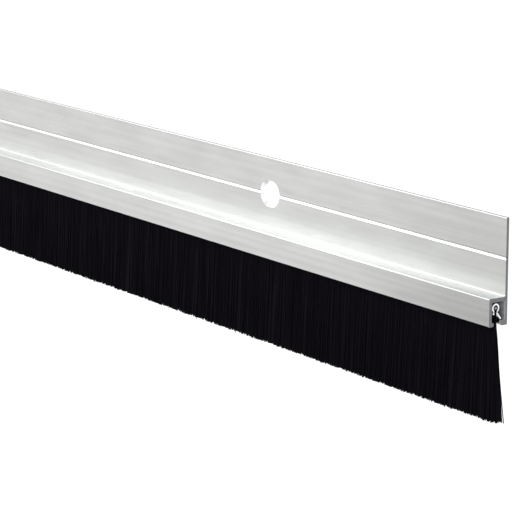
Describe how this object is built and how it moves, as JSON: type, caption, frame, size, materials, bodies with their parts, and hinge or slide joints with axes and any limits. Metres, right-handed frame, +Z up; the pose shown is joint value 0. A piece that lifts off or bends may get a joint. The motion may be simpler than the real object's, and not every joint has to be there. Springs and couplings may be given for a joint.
{
  "type": "door sweep",
  "caption": "Door sweep: an aluminium carrier with a grooved screw flange and an open channel that holds a steel-backed strip brush of black nylon filaments.",
  "frame": {"origin": "on the flat door face of the carrier, halfway along its length, at the height of the screw line", "axes": "+X along the sweep, to the right as seen from the front; +Y out of the door face, towards the door; +Z up, away from the filament tips"},
  "size_m": [0.914, 0.0059, 0.051],
  "materials": {
    "mill_aluminium": "satin mill finish with fine lines along the extrusion",
    "galvanised_steel": "bright zinc",
    "steel_wire": "drawn wire",
    "black_nylon": "satin black filament"
  },
  "bodies": {
    "carrier": {"carrier": "mill_aluminium"},
    "brush_insert": {"backing_strip": "galvanised_steel", "core_wire": "steel_wire", "filament_roots": "black_nylon"},
    "filaments": {"filament_bundle_01": "black_nylon", "filament_bundle_02": "black_nylon", "filament_bundle_03": "black_nylon", "filament_bundle_04": "black_nylon", "filament_bundle_05": "black_nylon", "filament_bundle_06": "black_nylon", "filament_bundle_07": "black_nylon", "filament_bundle_08": "black_nylon", "filament_bundle_09": "black_nylon", "filament_bundle_10": "black_nylon", "filament_bundle_11": "black_nylon", "filament_bundle_12": "black_nylon", "filament_bundle_13": "black_nylon", "filament_bundle_14": "black_nylon", "filament_bundle_15": "black_nylon", "filament_bundle_16": "black_nylon", "filament_bundle_17": "black_nylon", "filament_bundle_18": "black_nylon", "filament_bundle_19": "black_nylon", "filament_bundle_20": "black_nylon", "filament_bundle_21": "black_nylon", "filament_bundle_22": "black_nylon", "filament_bundle_23": "black_nylon", "filament_bundle_24": "black_nylon", "filament_bundle_25": "black_nylon", "filament_bundle_26": "black_nylon", "filament_bundle_27": "black_nylon", "filament_bundle_28": "black_nylon", "filament_bundle_29": "black_nylon", "filament_bundle_30": "black_nylon", "filament_bundle_31": "black_nylon", "filament_bundle_32": "black_nylon", "filament_bundle_33": "black_nylon", "filament_bundle_34": "black_nylon", "filament_bundle_35": "black_nylon", "filament_bundle_36": "black_nylon"}
  },
  "joints": [
    {"name": "brush_slide", "type": "slide", "parent": "carrier", "child": "brush_insert", "axis": [1, 0, 0], "range_m": [0, 0.9]},
    {"name": "filament_flex", "type": "hinge", "parent": "brush_insert", "child": "filaments", "pos_m": [0, -0.00375, -0.01795], "axis": [1, 0, 0], "range_deg": [-40, 40], "stiffness_Nm_per_rad": 0.54}
  ]
}
